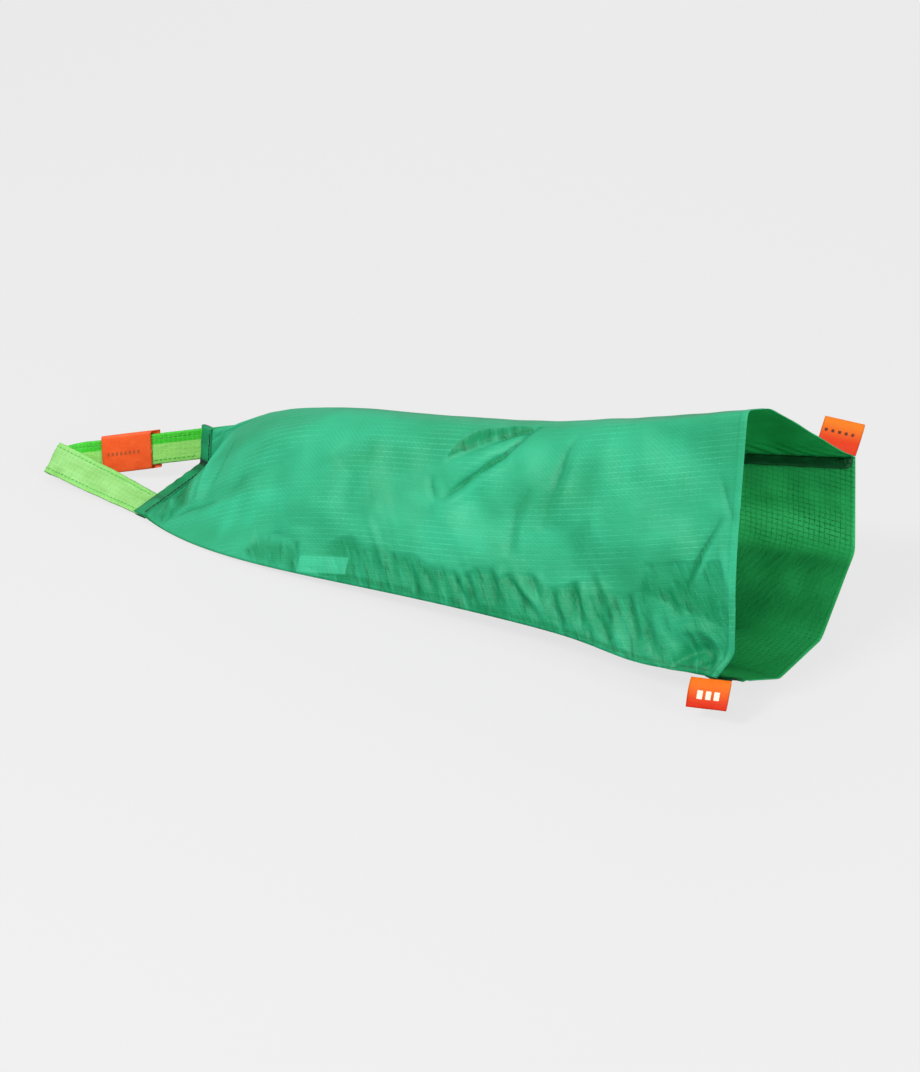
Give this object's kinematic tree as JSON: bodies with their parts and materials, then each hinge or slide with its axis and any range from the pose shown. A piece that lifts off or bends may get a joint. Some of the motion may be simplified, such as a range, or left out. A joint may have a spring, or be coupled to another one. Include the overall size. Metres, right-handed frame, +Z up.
{
  "type": "slide sleeve",
  "caption": "Tapered sleeve of thin ripstop cloth, open at its wide end, with a pull loop sewn into the narrow end's hem and small folded tabs in its side seams.",
  "frame": {"origin": "on the floor, below the middle of the whole object", "axes": "+X along the sleeve towards its open mouth, +Y across it to its far side, +Z up"},
  "size_m": [0.5026, 0.1878, 0.1604],
  "materials": {
    "sleeve_cloth": "satin",
    "seam_cloth": "satin",
    "hem_thread": "matte",
    "seam_thread": "matte",
    "care_label_cloth": "matte",
    "strap_cloth": "satin",
    "strap_thread": "matte",
    "tag_cloth": "satin",
    "tag_thread": "matte",
    "label_cloth": "satin"
  },
  "bodies": {
    "sleeve": {"front_panel": "sleeve_cloth", "back_panel": "sleeve_cloth", "end_hem": "sleeve_cloth", "end_hem_stitching": "hem_thread", "upper_side_seam": "seam_cloth", "lower_side_seam": "seam_cloth", "upper_seam_stitching": "seam_thread", "lower_seam_stitching": "seam_thread", "care_label": "care_label_cloth"},
    "pull_loop": {"pull_strap": "strap_cloth", "strap_upper_stitching": "strap_thread", "strap_lower_stitching": "strap_thread"},
    "strap_tag": {"strap_tag": "tag_cloth", "strap_tag_stitching": "tag_thread"},
    "upper_label": {"upper_label": "label_cloth"},
    "lower_label": {"lower_label": "label_cloth"}
  },
  "joints": [
    {"name": "loop_swing", "type": "hinge", "parent": "sleeve", "child": "pull_loop", "pos_m": [-0.17041, -0.04589, 0.00405], "axis": [0.1619, 0.8329, 0.5293], "range_deg": [0, 38]},
    {"name": "tag_slide", "type": "slide", "parent": "pull_loop", "child": "strap_tag", "axis": [0.9053, 0.3749, 0.1999], "range_m": [-0.003, 0.02]},
    {"name": "upper_label_flex", "type": "hinge", "parent": "sleeve", "child": "upper_label", "pos_m": [0.23895, 0.0816, 0.08714], "axis": [-0.9728, -0.2035, -0.1109], "range_deg": [-40, 40], "stiffness_Nm_per_rad": 0.0005},
    {"name": "lower_label_flex", "type": "hinge", "parent": "sleeve", "child": "lower_label", "pos_m": [0.24786, -0.0834, 0.02377], "axis": [-0.9971, 0.0519, -0.0548], "range_deg": [-40, 40], "stiffness_Nm_per_rad": 0.0005}
  ]
}
